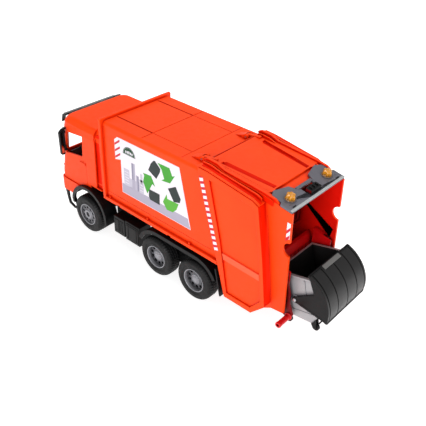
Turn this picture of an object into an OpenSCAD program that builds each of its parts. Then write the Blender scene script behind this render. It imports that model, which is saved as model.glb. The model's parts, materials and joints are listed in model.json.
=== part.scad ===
// Toy refuse truck with a rear loader and a wheeled container on its lift.
// Frame: +X to the front, +Y to the left, +Z up, z = 0 on the ground,
// x = 0 halfway along the whole truck. Millimetres.

/* [Wheels] */
// Radius of the road wheels' tyres
wheel_r = 46; // [44:0.5:47]
// Width of one tyre
tyre_w = 32; // [26:1:34]
// Distance from the centre plane to the tyres' outer faces
wheel_out_y = 109; // [107:0.5:110]
// Radius of the rims
rim_r = 26.5; // [24:0.5:28]
// Radius of the steel axles
axle_r = 3; // [2.5:0.25:4]
// Front axle's distance ahead of the middle of the truck
front_axle_x = 255; // [253:1:257]
// Middle axle's distance ahead of the middle of the truck
middle_axle_x = 29; // [27:1:31]
// Rear axle's distance ahead of the middle of the truck
rear_axle_x = -80; // [-82:1:-78]

/* [Refuse body] */
// Half width of the body's side walls
body_half_w = 95; // [94:0.5:96]
// Half width of the frames that stand proud of the walls
frame_half_w = 101; // [100:0.5:102]
// Height of the body's roof above the ground
roof_z = 299; // [298:0.5:300]
// Underside of the body
body_z = 113; // [112.5:0.25:114]
// Front face of the body
body_front_x = 200; // [198:1:202]
// Thickness of the plastic walls
wall = 3.5; // [3:0.25:4]

/* [Tailgate] */
// Half distance between the hopper's side walls
hopper_half_w = 76; // [75.5:0.25:76.5]
// Height of the tailgate's hinge pins
hinge_z = 303.5; // [303:0.25:304]
// Place of the tailgate's hinge pins along the truck
hinge_x = -62; // [-63:0.5:-61]

/* [Container and lift] */
// Tilt of the container as it hangs on the lift
bin_tilt = 15; // [14:0.5:16]
// Radius of the container's round lid
lid_r = 72; // [71:0.5:72.5]
// Half width of the container's tub
bin_half_w = 57; // [56:0.5:57.5]

/* [Hidden] */
$fn = 48;

axle_z = wheel_r;
running_gap = 0.05;
tyre_in_y = wheel_out_y - tyre_w;
arch_r = wheel_r + 14;
cab_arch_r = wheel_r + 23;
rail_y = 28;
rail_w = 8;
rail_z = 66;
rail_top_z = 92;
seam_slope = 0.2985;
seam_top_x = -77.5;
seam_top_z = 305;
hopper_wall = 5.2;
packer_x = -236;
packer_z = 272;
shaft_r = 4;
lift_x = -262;
lift_z = 150;
lift_pin_r = 4;
bin_x = -290.5;
bin_z = 99.8;
pin_r = 2.5;
trunnion_u = 15.5;
trunnion_r = 4;
castor_r = 7.4;
castor_w = 6;
castor_y = 53;
castor_drop = 54.4;
castor_pin_r = 1.5;
arm_in_y = 66.1;
arm_out_y = 71;
handle_x = -287;
handle_z = 62;
handle_r = 4.3;
mirror_x = 326;
mirror_y = 99.5;

orange = [0.98, 0.31, 0.12];
deep_red = [0.78, 0.02, 0.04];
black = [0.13, 0.13, 0.14];
dark_grey = [0.29, 0.29, 0.28];
grey = [0.58, 0.56, 0.58];
plate_grey = [0.5, 0.49, 0.5];
steel = [0.75, 0.75, 0.77];
amber = [0.9, 0.62, 0.1];
white = [0.92, 0.9, 0.92];

// x of the slanted joint between body and tailgate at height z
function seam_x(z) = seam_top_x - (seam_top_z - z) * seam_slope;

// A copy on each side of the centre plane
module both_sides() {
  children();
  mirror([0, 1, 0]) children();
}

// An outline in x and z, made solid from y0 to y1
module side_plate(points, y0, y1) {
  translate([0, y1, 0]) rotate([90, 0, 0]) linear_extrude(y1 - y0) polygon(points);
}

// A round bar across the truck, from y0 to y1
module cross_bar(x, z, r, y0, y1) {
  translate([x, y0, z]) rotate([-90, 0, 0]) cylinder(r = r, h = y1 - y0);
}

// A box from its lowest to its highest corner
module block(low, high) {
  translate(low) cube(high - low);
}

// ---- Chassis ----

module chassis_frame() {
  color(black) {
    both_sides() block([-136, rail_y, rail_z], [330, rail_y + rail_w, rail_top_z]);
    for (x = [-134, -30, 100, 200, 312])
      block([x, -rail_y, rail_z + 6], [x + 10, rail_y, rail_top_z - 6]);
  }
}

// A beam under the rails with a bore for the axle
module axle_beam(x) {
  difference() {
    block([x - 10, -62, axle_z - 9], [x + 10, 62, rail_z]);
    cross_bar(x, axle_z, axle_r + running_gap, -63, 63);
  }
}

module front_axle_beam() {
  color(black) axle_beam(front_axle_x);
}

module rear_bogie() {
  color(black) {
    axle_beam(middle_axle_x);
    axle_beam(rear_axle_x);
    both_sides() block([rear_axle_x + 10, 40, 52], [middle_axle_x - 10, 48, rail_z]);
  }
}

module body_mounts() {
  color(black) {
    block([150, -44, rail_top_z], [188, 44, body_z]);
    block([-128, -44, rail_top_z], [-100, 44, body_z]);
  }
}

// Radius of the front mudguards' outer edge at angle a above the front
function hoop_r(a) = 58 + 10 * sin(min(a * 1.35, 90)) - 0.09 * max(a - 100, 0);

function hoop_at(a, inset) = [front_axle_x + (hoop_r(a) - inset) * cos(a),
  axle_z + (hoop_r(a) - inset) * sin(a)];

module front_mudguards() {
  color(black) both_sides() {
    side_plate(concat([for (a = [8 : 6 : 68]) hoop_at(a, 0)], [for (a = [68 : -6 : 8]) hoop_at(a, 7)]),
      98, 104);
    side_plate(concat([for (a = [68 : 6 : 176]) hoop_at(a, 0)], [for (a = [176 : -6 : 68]) hoop_at(a, 3)]),
      70, 104);
    side_plate([hoop_at(176, 0), hoop_at(176, 3), [196.5, 40], [193.5, 40]], 70, 104);
    block([front_axle_x - 8, rail_y, axle_z + 60], [front_axle_x + 8, 71, axle_z + 66]);
    block([front_axle_x - 8, rail_y, rail_top_z], [front_axle_x + 8, rail_y + rail_w, axle_z + 60]);
  }
}

// Points of an arc of radius r over the wheel at x, from start to end degrees
function arc_points(x, r, start, end) = [for (i = [0 : 10])
  [x + r * cos(start + (end - start) * i / 10), axle_z + r * sin(start + (end - start) * i / 10)]];

// One long guard over both rear wheels on each side
module rear_mudguards() {
  mid_x = (middle_axle_x + rear_axle_x) / 2;
  top_z = axle_z + arch_r;
  color(black) both_sides() {
    side_plate(concat(arc_points(middle_axle_x, arch_r, 24, 90), arc_points(rear_axle_x, arch_r, 90, 152),
      arc_points(rear_axle_x, arch_r - 3, 152, 90), arc_points(middle_axle_x, arch_r - 3, 90, 24)), 70, 104);
    block([mid_x - 10, rail_y, top_z - 4], [mid_x + 10, 71, top_z - 1]);
    block([mid_x - 10, rail_y, rail_top_z], [mid_x + 10, rail_y + rail_w, top_z - 4]);
  }
}

module mud_flaps() {
  color(black) both_sides() {
    side_plate([[-130, 104], [-133.5, 104], [-148, 43], [-145, 43]], 66, 104);
    block([-136, rail_y + rail_w, 86], [-129.5, 66, 91]);
    side_plate([[-130, 104], [-133.5, 104], [-137, 86], [-129.5, 86]], 62, 66);
  }
}

module side_boxes() {
  color(black) both_sides() {
    block([94, 60, 29], [139.5, 94.5, 79]);
    block([97, 94.5, 33], [136, 96, 75]);
    block([142, 62, 31], [178, 94.5, 76]);
    block([139.5, 62, 40], [142, 88, 70]);
    block([96, 46, 72], [190, 60, 104]);
    block([96, rail_y + rail_w, 72], [190, 46, 80]);
    block([142, 60, 76], [190, 72, 100]);
  }
}

// ---- Cab ----

module cab_steps() {
  color(black) both_sides() difference() {
    side_plate([[350, 72], [345, 47], [341, 33], [322, 27], [306, 30], [306, 36], [319, 72]], 92, 97);
    side_plate([[340, 73], [339, 50], [336, 38], [322, 32], [311, 35], [324, 73]], 91, 98);
  }
}

module front_bumper() {
  color(black) {
    block([348, -70, 46], [362.4, 70, 71]);
    block([330, -60, 62], [348, 60, 71]);
  }
}

module headlights() {
  color(plate_grey) both_sides() block([360, 58, 80], [362, 84, 98]);
}

// The cab's shape at a few heights: height, front face, half width, corner radius
cab_levels = [[79, 357, 95, 12], [120, 357, 95, 12], [172, 354, 95, 24], [238, 348, 94.6, 27],
  [258, 339, 84, 26], [264.5, 322, 78, 20]];

// A box outline from above, with corners of radius r at the front
module cab_plan(half_w, x0, x1, r) {
  translate([x0, -half_w]) square([x1 - r - x0, 2 * half_w]);
  translate([x0, -half_w + r]) square([x1 - x0, 2 * (half_w - r)]);
  for (side = [-1, 1]) translate([x1 - r, side * (half_w - r)]) circle(r = r);
}

module cab_slice(level, t, drop) {
  translate([0, 0, level[0] - drop]) linear_extrude(0.1)
    cab_plan(level[2] - t, 212 + t, level[1] - t, level[3]);
}

module cab_body(t) {
  for (i = [0 : 4]) hull() {
    cab_slice(cab_levels[i], t, i == 0 ? t * 3 : t);
    cab_slice(cab_levels[i + 1], t, t);
  }
}

// The wider skirt round the foot of the cab
module cab_skirt(t) {
  translate([0, 0, 72 - t * 3]) linear_extrude(32 + t * 2) cab_plan(98 - t, 292, 360 - t, 12);
}

module cab_shell() {
  color(orange) difference() {
    union() {
      cab_body(0);
      cab_skirt(0);
    }
    cab_body(wall);
    cab_skirt(wall);
    block([200, -120, 50], [250, 120, 121]);
    cross_bar(front_axle_x, axle_z, cab_arch_r, -120, 120);
    side_plate([[272, 185], [268, 236], [327, 229], [332, 175]], -120, 120);
    block([335, -74, 170], [370, 74, 243]);
  }
  color(orange) difference() {
    block([215.5, -body_half_w + wall, 132], [353, body_half_w - wall, 135]);
    cross_bar(front_axle_x, axle_z, cab_arch_r + 8, -120, 120);
  }
}

module radiator_grille() {
  color(black) {
    side_plate([[357.1, 116], [357.1, 120], [354.9, 160], [358, 160], [360, 116]], -56, 56);
    for (z = [118 : 9 : 157]) block([358, -54, z], [361.5, 54, z + 3]);
  }
}

module sun_visor() {
  color(black) {
    side_plate([[337, 262.5], [360, 254.5], [360.5, 251], [357, 251], [341, 258]], -72, 72);
    both_sides() side_plate([[339, 262], [354, 256], [359, 237], [356, 237], [350, 251], [341, 257]], 72, 80);
  }
}

module dashboard() {
  color(black) {
    side_plate([[318, 135], [315, 168], [330, 174], [345, 166], [345, 135]], -84, 84);
    block([316, 30, 168], [330, 58, 178]);
  }
}

module steering_wheel() {
  color(black) translate([306, 44, 180]) rotate([0, -62, 0]) {
    rotate_extrude() translate([16, 0]) circle(r = 2);
    for (a = [30, 150, 270]) rotate([0, 0, a]) translate([2, -1.5, -1.5]) cube([14, 3, 3]);
    translate([0, 0, -9.5]) cylinder(r = 3.5, h = 11);
  }
}

module cab_seats() {
  color(black) both_sides() {
    block([232, 26, 135], [286, 74, 156]);
    side_plate([[228, 156], [242, 156], [234, 214], [222, 214]], 26, 74);
  }
}

// A tall rear view mirror that turns on its post at the cab's corner
module mirror_head() {
  color(black) {
    difference() {
      along_x(mirror_x - 3, mirror_x + 4) polygon([[mirror_y + 3.4, 176], [111, 176], [112.5, 178],
        [112.5, 229], [111, 232], [mirror_y + 3.4, 238]]);
      block([mirror_x - 4, mirror_y + 5, 179], [mirror_x - 1.5, 110.8, 230]);
    }
    for (z = [190, 226]) difference() {
      union() {
        translate([mirror_x, mirror_y, z]) cylinder(r = 3.4, h = 6);
        block([mirror_x - 2, mirror_y, z], [mirror_x + 4, mirror_y + 3.4, z + 6]);
      }
      translate([mirror_x, mirror_y, z - 1]) cylinder(r = 1.5 + running_gap, h = 8);
    }
  }
}

module left_mirror() {
  mirror_head();
}

module right_mirror() {
  mirror([0, 1, 0]) mirror_head();
}

module mirror_mounts() {
  color(black) both_sides() {
    translate([mirror_x, mirror_y, 184]) cylinder(r = 1.5, h = 52);
    for (z = [183.5, 235]) {
      translate([mirror_x, mirror_y, z]) cylinder(r = 3.2, h = 4);
      block([mirror_x - 3, body_half_w, z], [mirror_x + 3, mirror_y, z + 4]);
    }
  }
}

// ---- Refuse body ----

// The body's cross-section, with its walls at distance t inside
module body_section(t) {
  half_w = body_half_w - t;
  top = roof_z - t;
  r = 7 - t;
  translate([-half_w, body_z + t]) square([2 * half_w, top - r - body_z - t]);
  translate([-half_w + r, body_z + t]) square([2 * (half_w - r), top - body_z - t]);
  for (side = [-1, 1]) translate([side * (half_w - r), top - r]) circle(r = r);
}

module along_x(x0, x1) {
  translate([x0, 0, 0]) rotate([90, 0, 90]) linear_extrude(x1 - x0) children();
}

// Everything behind the slanted joint, less a gap
module behind_seam(gap) {
  side_plate([[seam_x(340) + gap, 340], [seam_x(0) + gap, 0], [-400, 0], [-400, 340]], -150, 150);
}

module hinge_lug() {
  for (y = [54, 67.5]) difference() {
    union() {
      cross_bar(hinge_x, hinge_z, 5.5, y, y + 5);
      block([hinge_x - 5.5, y, roof_z - 1], [hinge_x + 12, y + 5, hinge_z]);
    }
    cross_bar(hinge_x, hinge_z, 2, y - 1, y + 6);
  }
}

module body_shell() {
  groove = 1;
  color(orange) {
    difference() {
      union() {
        along_x(-150, body_front_x - 7.5) body_section(0);
        both_sides() {
          block([-150, body_half_w - 1, body_z], [body_front_x - 7.5, frame_half_w, body_z + 8]);
          hinge_lug();
        }
      }
      along_x(-160, body_front_x) body_section(wall);
      behind_seam(0.8);
      for (x = [82, -26]) block([x, -88, roof_z - groove], [x + 1.6, 88, roof_z + 1]);
      both_sides() block([-25, 57, roof_z - groove], [190, 58.6, roof_z + 1]);
      both_sides() block([-110, 40, body_z - 1], [-134, 100, body_z + 1]);
      block([-160, -body_half_w + wall, body_z - 1], [body_front_x, body_half_w - wall, body_z + wall + 1]);
    }
  }
}

module body_front_wall() {
  color(orange) difference() {
    block([body_front_x - 7.5, -frame_half_w, body_z], [body_front_x, frame_half_w, 304.5]);
    block([body_front_x - 3, -88, 124], [body_front_x + 1, 88, 292]);
  }
}

module body_floor() {
  color(orange) difference() {
    block([-133, -body_half_w + wall, body_z], [body_front_x - 7.5, body_half_w - wall, body_z + 3.5]);
    block([-84, -5, body_z - 1], [142, 5, body_z + 5]);
    behind_seam(0.8);
  }
}

// A flat label with a slanted rear edge on each side wall
module side_decals() {
  color(white) both_sides() side_plate(
    [[140, 279], [-26, 281], [-59, 155], [139, 151], [142, 229], [157, 231], [157, 275]],
    body_half_w, body_half_w + 0.4);
}

module hinge_pins() {
  color(steel) both_sides() cross_bar(hinge_x, hinge_z, 2, 53, 73.5);
}

module ejector_plate() {
  color(deep_red) {
    block([116, -88, body_z + 4], [120, 88, 288]);
    for (y = [-60, 0, 60]) side_plate([[120, 117], [150, 117], [120, 250]], y - 2, y + 2);
    block([108, -4, 108.5], [136, 4, body_z + 4]);
  }
}

module ejector_handle() {
  color(deep_red) {
    block([112, -94, 107.3], [136, 94, 108.5]);
    both_sides() block([112, 84, 108.5], [136, 96, 111.8]);
  }
}

// ---- Wheels ----

module axle(x) {
  color(steel) cross_bar(x, axle_z, axle_r, -101, 101);
}

// A tyre with rounded shoulders, on its side of the truck
module tyre(x) {
  round_r = 5;
  color(black) translate([x, wheel_out_y, axle_z]) rotate([90, 0, 0]) rotate_extrude($fn = 96) {
    translate([rim_r, 0]) square([wheel_r - round_r - rim_r, tyre_w]);
    translate([rim_r, round_r]) square([wheel_r - rim_r, tyre_w - 2 * round_r]);
    for (y = [round_r, tyre_w - round_r]) translate([wheel_r - round_r, y]) circle(r = round_r);
  }
}

// A rim with a disc at depth dish and a hub, bored for the axle
module rim(x, dish, hub_out) {
  color(grey) translate([x, wheel_out_y, axle_z]) rotate([90, 0, 0]) difference() {
    rotate_extrude($fn = 96) {
      translate([rim_r - 2.5, 1]) square([2.5, tyre_w - 2]);
      translate([0, dish]) square([rim_r - 1, 4]);
      translate([0, hub_out]) square([11, dish + 14 - hub_out]);
    }
    translate([0, 0, 8]) cylinder(r = axle_r, h = 40);
    for (a = [0 : 36 : 324]) rotate([0, 0, a]) translate([17.5, 0, dish - 1]) cylinder(r = 1.7, h = 6);
  }
}

module front_axle() { axle(front_axle_x); }
module front_rims() { both_sides() rim(front_axle_x, 4, 0.5); }
module front_tyres() { both_sides() tyre(front_axle_x); }
module middle_axle() { axle(middle_axle_x); }
module middle_rims() { both_sides() rim(middle_axle_x, 9, 5); }
module middle_tyres() { both_sides() tyre(middle_axle_x); }
module rear_axle() { axle(rear_axle_x); }
module rear_rims() { both_sides() rim(rear_axle_x, 9, 5); }
module rear_tyres() { both_sides() tyre(rear_axle_x); }

// ---- Tailgate ----

// The side of the tailgate's proud box
box_side = [[seam_x(305), 305], [-101, 304], [-204, 290], [-217.6, 283.7], [-236, 183],
  [-251, 79], [-221, 46.4], [seam_x(46), 46]];
box_hole = [[seam_x(298) - 6, 298], [-101, 298], [-203, 284], [-211, 280], [-230, 183],
  [-244, 79], [-218, 52], [seam_x(52) - 6, 52]];

module tailgate_walls() {
  inner = hopper_half_w;
  outer = hopper_half_w + hopper_wall;
  color(orange) both_sides() {
    difference() {
      side_plate([[seam_x(305), 305], [-218, 295], [-245, 293], [-245.5, 291], [-273.5, 286.5], [-281, 70],
        [-252, 66], [-221, 46.4], [seam_x(46), 46]], inner, outer);
      cross_bar(-277, 213, 14.5, inner - 1, outer + 1);
      cross_bar(packer_x, packer_z, shaft_r + running_gap, inner - 1, outer - 1.8);
      cross_bar(lift_x, lift_z, lift_pin_r, inner - 1, outer - 2);
    }
    difference() {
      side_plate(box_side, outer, 96);
      side_plate(box_hole, outer - 1, 97);
    }
  }
}

// The proud outer panels, with a raised border, a bar and a slanted rib
module tailgate_panels() {
  color(orange) both_sides() {
    difference() {
      side_plate(box_side, 96, frame_half_w);
      side_plate([[-106, 290], [-203, 279], [-211, 272], [-228, 183], [-240, 86], [-218, 58],
        [-160, 58], [-138, 170]], 97.5, 102);
    }
    side_plate([[-146, 134], [-222, 150], [-225, 141], [-148, 125]], 97.5, 100.6);
  }
}

module tailgate_knuckle() {
  difference() {
    union() {
      cross_bar(hinge_x, hinge_z, 4.1, 59.6, 66.9);
      side_plate([[hinge_x, hinge_z + 4.1], [-92, 312], [-92, 300], [hinge_x, hinge_z - 3]], 59.6, 66.9);
    }
    cross_bar(hinge_x, hinge_z, 2 + running_gap, 59, 68);
  }
}

module tailgate_roof() {
  rail_out_y = hopper_half_w + hopper_wall;
  color(orange) {
    difference() {
      side_plate([[seam_x(309) + 0.4, 309], [-216, 299.5], [-216, 295], [-243, 290.8], [-243, 287],
        [-216, 291.5], [-84, 301.5], [seam_x(301), 301.5]], -hopper_half_w, hopper_half_w);
      block([-250, -19, 280], [-239, 19, 300]);
      both_sides() side_plate([[-101, 312], [-101, 304.5], [-217, 296.2], [-217, 304]], 57, 66);
    }
    both_sides() {
      side_plate([[seam_x(313) + 1, 313], [-82, 317], [-106, 316], [-124, 309.5], [-215, 303], [-236, 299.6],
        [-245, 293.2], [-218, 295.2], [seam_x(305), 305.2]], hopper_half_w, rail_out_y);
      side_plate([[seam_x(309) - 1, 309], [-101, 308], [-204, 294], [-217.6, 287.7], [-217.6, 284],
        [-204, 290.2], [-101, 304.2], [seam_x(305) - 1, 305.2]], rail_out_y, 99);
      tailgate_knuckle();
    }
  }
}

module hopper_tub() {
  color(deep_red) {
    side_plate([[-137, 118], [-155.5, 46], [-151.5, 46], [-133.5, 118]], -hopper_half_w, hopper_half_w);
    side_plate([[-154, 46], [-221, 46], [-221, 50], [-153, 50]], -hopper_half_w, hopper_half_w);
    side_plate([[-220, 46], [-233, 70], [-228.6, 72], [-218, 49]], -hopper_half_w, hopper_half_w);
    side_plate([[-233, 69], [-229, 134], [-225, 133], [-228.8, 70]], -hopper_half_w, hopper_half_w);
    side_plate([[-229.2, 132], [-221, 147], [-217, 147], [-225, 132]], -hopper_half_w, hopper_half_w);
  }
}

// Striped labels along the proud box's front edge and the walls' rear edges
module edge_decals() {
  color(white) both_sides() {
    side_plate([[-82, 290], [-91, 290], [-134, 146], [-125, 146]], frame_half_w, frame_half_w + 0.4);
    side_plate([[-266, 268], [-273, 268], [-273.8, 236], [-266.8, 236]],
      hopper_half_w + hopper_wall, hopper_half_w + hopper_wall + 0.4);
  }
}

// The sloping lamp plate, drawn flat and then tipped down to the rear
module on_light_plate() {
  translate([-272, 0, 287]) rotate([0, -9.3, 0]) children();
}

module light_plate() {
  color(plate_grey) on_light_plate() difference() {
    linear_extrude(4.5) difference() {
      polygon([[0, -81], [0, 81], [25, 81], [28, 75.8], [48, 75.8], [56, 62], [47, 30], [30, 22], [30, -22],
        [47, -30], [56, -62], [48, -75.8], [28, -75.8], [25, -81]]);
      translate([4, -18]) square([40, 36]);
    }
    translate([0, -82, 3.5]) cube([3.5, 164, 3]);
  }
}

module beacons() {
  color(amber) on_light_plate() both_sides() translate([24, 56, 4.5]) {
    cylinder(r = 10, h = 2.5);
    cylinder(r = 7.6, h = 11);
    for (a = [0 : 60 : 300]) rotate([0, 0, a]) translate([6, 0, 0]) cylinder(r = 2.8, h = 13);
  }
}

module packer_shaft() {
  shaft_half_w = hopper_half_w + hopper_wall - 2.2;
  color(steel) cross_bar(packer_x, packer_z, shaft_r, -shaft_half_w, shaft_half_w);
}

module packer_plate() {
  color(black) difference() {
    union() {
      cross_bar(packer_x, packer_z, 7.5, -74, 74);
      side_plate([[packer_x, packer_z + 4], [-199, 274], [-191, 266], [-191, 160], [-195, 160],
        [-195, 264], [-201, 270], [packer_x, packer_z - 4]], -74, 74);
      side_plate([[-242, 276], [-252, 286], [-252, 301], [-265, 299], [-265, 286], [-242, 268]], -15, 15);
    }
    cross_bar(packer_x, packer_z, shaft_r, -75, 75);
  }
}

module lift_pivots() {
  color(steel) both_sides() cross_bar(lift_x, lift_z, lift_pin_r, arm_in_y,
    hopper_half_w + hopper_wall - 2);
}

// ---- Lift and container ----

// From the container's own frame, level and centred on its lid pins
module in_bin() {
  translate([bin_x, 0, bin_z]) rotate([0, bin_tilt, 0]) children();
}

module lift_arms() {
  trunnion_x = bin_x + trunnion_u * cos(bin_tilt);
  trunnion_z = bin_z - trunnion_u * sin(bin_tilt);
  color(deep_red) both_sides() difference() {
    union() {
      cross_bar(lift_x, lift_z, 8, arm_in_y, arm_out_y);
      side_plate([[lift_x + 7, lift_z - 4], [lift_x - 7, lift_z + 4], [-283, 112], [-284, 90],
        [-294, 66], [-291, 56], [-280, 56], [-253, 66], [-242, 110], [-250, 120]], arm_in_y, arm_out_y);
    }
    cross_bar(lift_x, lift_z, lift_pin_r + running_gap, arm_in_y - 1, arm_out_y + 1);
    cross_bar(trunnion_x, trunnion_z, trunnion_r, arm_in_y - 1, arm_out_y + 1);
  }
}

// The bar in front of the container that ties the two arms together
module lift_cross_bar() {
  color(deep_red) in_bin() {
    side_plate([[42, 20], [45.5, 20], [45.5, -22], [42, -22]], -arm_in_y, arm_in_y);
    for (y = [-45 : 30 : 45]) side_plate([[45.5, 18], [47, 16], [47, -18], [45.5, -20]], y - 2, y + 2);
  }
}

module lift_handles() {
  color(deep_red) both_sides() {
    cross_bar(handle_x, handle_z, 7, arm_out_y, arm_out_y + 3);
    cross_bar(handle_x, handle_z, handle_r, arm_out_y + 3, 105);
  }
}

// Housings inside the hopper's walls that hide the arms' hubs
module lift_covers() {
  color(deep_red) both_sides() {
    side_plate([[-235, 164], [-276, 157.5], [-276, 126], [-235, 126]], 64.8, 65.8);
    side_plate([[-235, 164], [-256, 160.7], [-256, 158.7], [-235, 162]], 65.8, hopper_half_w);
    block([-237.5, 65.8, 126], [-235, hopper_half_w, 161]);
  }
}

bin_outline = [[-38.5, 46], [38.5, 46], [36, -28], [27, -40], [-26, -47], [-37, -36]];
bin_hollow = [[-35.5, 49], [35.5, 49], [33, -27], [25.5, -36.8], [-25, -43.8], [-34, -34.8]];

module bin_tub() {
  color(grey) in_bin() difference() {
    union() {
      side_plate(bin_outline, -bin_half_w, bin_half_w);
      block([-41, -bin_half_w - 3, 45], [41, bin_half_w + 3, 48.5]);
      cross_bar(0, 0, 7, -60.8, 60.8);
      cross_bar(trunnion_u, 0, 6, -59.5, 59.5);
    }
    side_plate(bin_hollow, -bin_half_w + 3, bin_half_w - 3);
    both_sides() cross_bar(0, 0, pin_r, 53, 62);
    both_sides() cross_bar(trunnion_u, 0, trunnion_r, 53, 62);
  }
}

module bin_pins() {
  color(steel) in_bin() both_sides() {
    cross_bar(0, 0, pin_r, 54, 64.6);
    cross_bar(0, 0, 3.6, 64.6, 65.6);
  }
}

module bin_trunnions() {
  color(black) in_bin() both_sides() cross_bar(trunnion_u, 0, trunnion_r, 54, arm_out_y);
}

// The side outlines of the forks, one reaching the bottom's slope at each end
front_fork = [[20, -41], [27, -40.1], [31, -34.8], [30, -57.4], [24, -57.4]];
rear_fork = [[-37, -36.1], [-26, -47.1], [-30, -57.4], [-36, -57.4]];

module castor_forks() {
  near_y = castor_y - castor_w / 2 - 2.4;
  far_y = castor_y + castor_w / 2 + 0.4;
  color(black) in_bin() both_sides() for (y = [near_y, far_y]) difference() {
    union() {
      side_plate(front_fork, y, y + 2);
      side_plate(rear_fork, y, y + 2);
    }
    for (u = [27, -33]) cross_bar(u, -castor_drop, castor_pin_r + running_gap, y - 1, y + 3);
  }
}

// A pair of container wheels on one pin
module castor_pair(u) {
  color(black) in_bin() {
    cross_bar(u, -castor_drop, castor_pin_r, -58.5, 58.5);
    both_sides() cross_bar(u, -castor_drop, castor_r, castor_y - castor_w / 2, castor_y + castor_w / 2);
  }
}

module front_castor_wheels() { castor_pair(27); }
module rear_castor_wheels() { castor_pair(-33); }

// The lid's place in degrees above the rear, where it rests open
lid_low = -12;
lid_high = 73;

function on_lid(r, a) = [bin_x - r * cos(a), bin_z + r * sin(a)];

module lid_end_plate() {
  difference() {
    union() {
      side_plate(concat([for (a = [lid_low + 0.5 : 6 : lid_high - 0.5]) on_lid(lid_r - 1, a)],
        [on_lid(50, 41), on_lid(5, 120), on_lid(5, 200), on_lid(5, 270)]), 61.2, 64.3);
      cross_bar(bin_x, bin_z, 5.5, 61.2, 64.3);
    }
    cross_bar(bin_x, bin_z, pin_r + running_gap, 60, 66);
  }
}

module bin_lid() {
  color(dark_grey) {
    both_sides() lid_end_plate();
    translate([bin_x, 64.3, bin_z]) rotate([90, 0, 0]) rotate([0, 0, 180 - lid_high])
      rotate_extrude(angle = lid_high - lid_low, $fn = 120)
        translate([lid_r - 2.8, 0]) square([2.8, 128.6]);
  }
}

module lid_grip() {
  color(plate_grey) translate([bin_x, 26, bin_z]) rotate([90, 0, 0]) rotate([0, 0, 180 - lid_high + 1])
    rotate_extrude(angle = 7, $fn = 120) translate([lid_r, 0]) square([2, 52]);
}

module chassis_screws() {
  color(steel) both_sides() for (x = [-114, 169]) translate([x, 40, rail_top_z - 3]) {
    cylinder(r = 1.9, h = 3);
    translate([0, 0, -2]) cylinder(r = 3.5, h = 2);
  }
}

chassis_frame();
front_axle_beam();
rear_bogie();
body_mounts();
front_mudguards();
rear_mudguards();
mud_flaps();
side_boxes();
cab_steps();
front_bumper();
headlights();
cab_shell();
radiator_grille();
sun_visor();
dashboard();
steering_wheel();
cab_seats();
left_mirror();
right_mirror();
mirror_mounts();
body_shell();
body_front_wall();
body_floor();
side_decals();
hinge_pins();
ejector_plate();
ejector_handle();
front_axle();
front_rims();
front_tyres();
middle_axle();
middle_rims();
middle_tyres();
rear_axle();
rear_rims();
rear_tyres();
tailgate_walls();
tailgate_panels();
tailgate_roof();
hopper_tub();
edge_decals();
light_plate();
beacons();
packer_shaft();
packer_plate();
lift_pivots();
lift_arms();
lift_covers();
lift_cross_bar();
lift_handles();
bin_tub();
bin_pins();
bin_trunnions();
castor_forks();
front_castor_wheels();
rear_castor_wheels();
bin_lid();
lid_grip();
chassis_screws();
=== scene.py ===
"""Looks of the toy refuse truck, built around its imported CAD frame. Lengths in the helpers are millimetres."""
import json
import math

import bmesh
import bpy
from mathutils import Matrix, Vector
from mathutils.bvhtree import BVHTree

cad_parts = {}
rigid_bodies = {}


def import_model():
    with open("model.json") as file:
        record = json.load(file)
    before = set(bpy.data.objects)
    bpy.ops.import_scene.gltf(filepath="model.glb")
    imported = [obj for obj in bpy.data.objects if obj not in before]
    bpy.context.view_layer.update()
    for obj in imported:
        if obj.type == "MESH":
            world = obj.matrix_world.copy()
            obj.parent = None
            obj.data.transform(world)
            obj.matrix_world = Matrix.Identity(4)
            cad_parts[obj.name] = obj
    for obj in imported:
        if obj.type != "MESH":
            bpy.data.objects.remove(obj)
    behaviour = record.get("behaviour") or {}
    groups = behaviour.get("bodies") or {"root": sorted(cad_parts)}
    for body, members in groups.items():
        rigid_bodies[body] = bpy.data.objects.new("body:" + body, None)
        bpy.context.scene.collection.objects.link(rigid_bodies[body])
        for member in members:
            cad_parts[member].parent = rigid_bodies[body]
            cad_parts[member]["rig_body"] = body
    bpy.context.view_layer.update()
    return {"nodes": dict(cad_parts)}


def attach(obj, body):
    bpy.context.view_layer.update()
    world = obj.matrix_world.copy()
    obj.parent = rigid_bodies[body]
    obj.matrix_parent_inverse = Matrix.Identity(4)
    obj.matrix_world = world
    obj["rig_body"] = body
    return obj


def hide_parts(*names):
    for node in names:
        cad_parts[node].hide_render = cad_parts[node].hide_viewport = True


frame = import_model()

MM = 0.001
scene = bpy.context.scene
nodes = frame["nodes"]


# ---------------------------------------------------------------- materials

def rgb(r, g, b):
    """A colour given as 8-bit screen values, made linear."""
    return tuple(((c / 255 + 0.055) / 1.055) ** 2.4 if c > 10 else c / 255 / 12.92 for c in (r, g, b)) + (1.0,)


def noise_node(tree, scale, detail, source, stretch=None):
    n = tree.nodes.new("ShaderNodeTexNoise")
    n.inputs["Scale"].default_value = scale
    n.inputs["Detail"].default_value = detail
    if stretch:
        m = tree.nodes.new("ShaderNodeMapping")
        m.inputs["Scale"].default_value = stretch
        tree.links.new(source, m.inputs["Vector"])
        source = m.outputs["Vector"]
    tree.links.new(source, n.inputs["Vector"])
    return n.outputs["Fac"]


def ramp_node(tree, fac, low, high, start=0.35, end=0.65):
    r = tree.nodes.new("ShaderNodeValToRGB")
    r.color_ramp.elements[0].position, r.color_ramp.elements[0].color = start, low
    r.color_ramp.elements[1].position, r.color_ramp.elements[1].color = end, high
    tree.links.new(fac, r.inputs["Fac"])
    return r.outputs["Color"]


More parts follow.
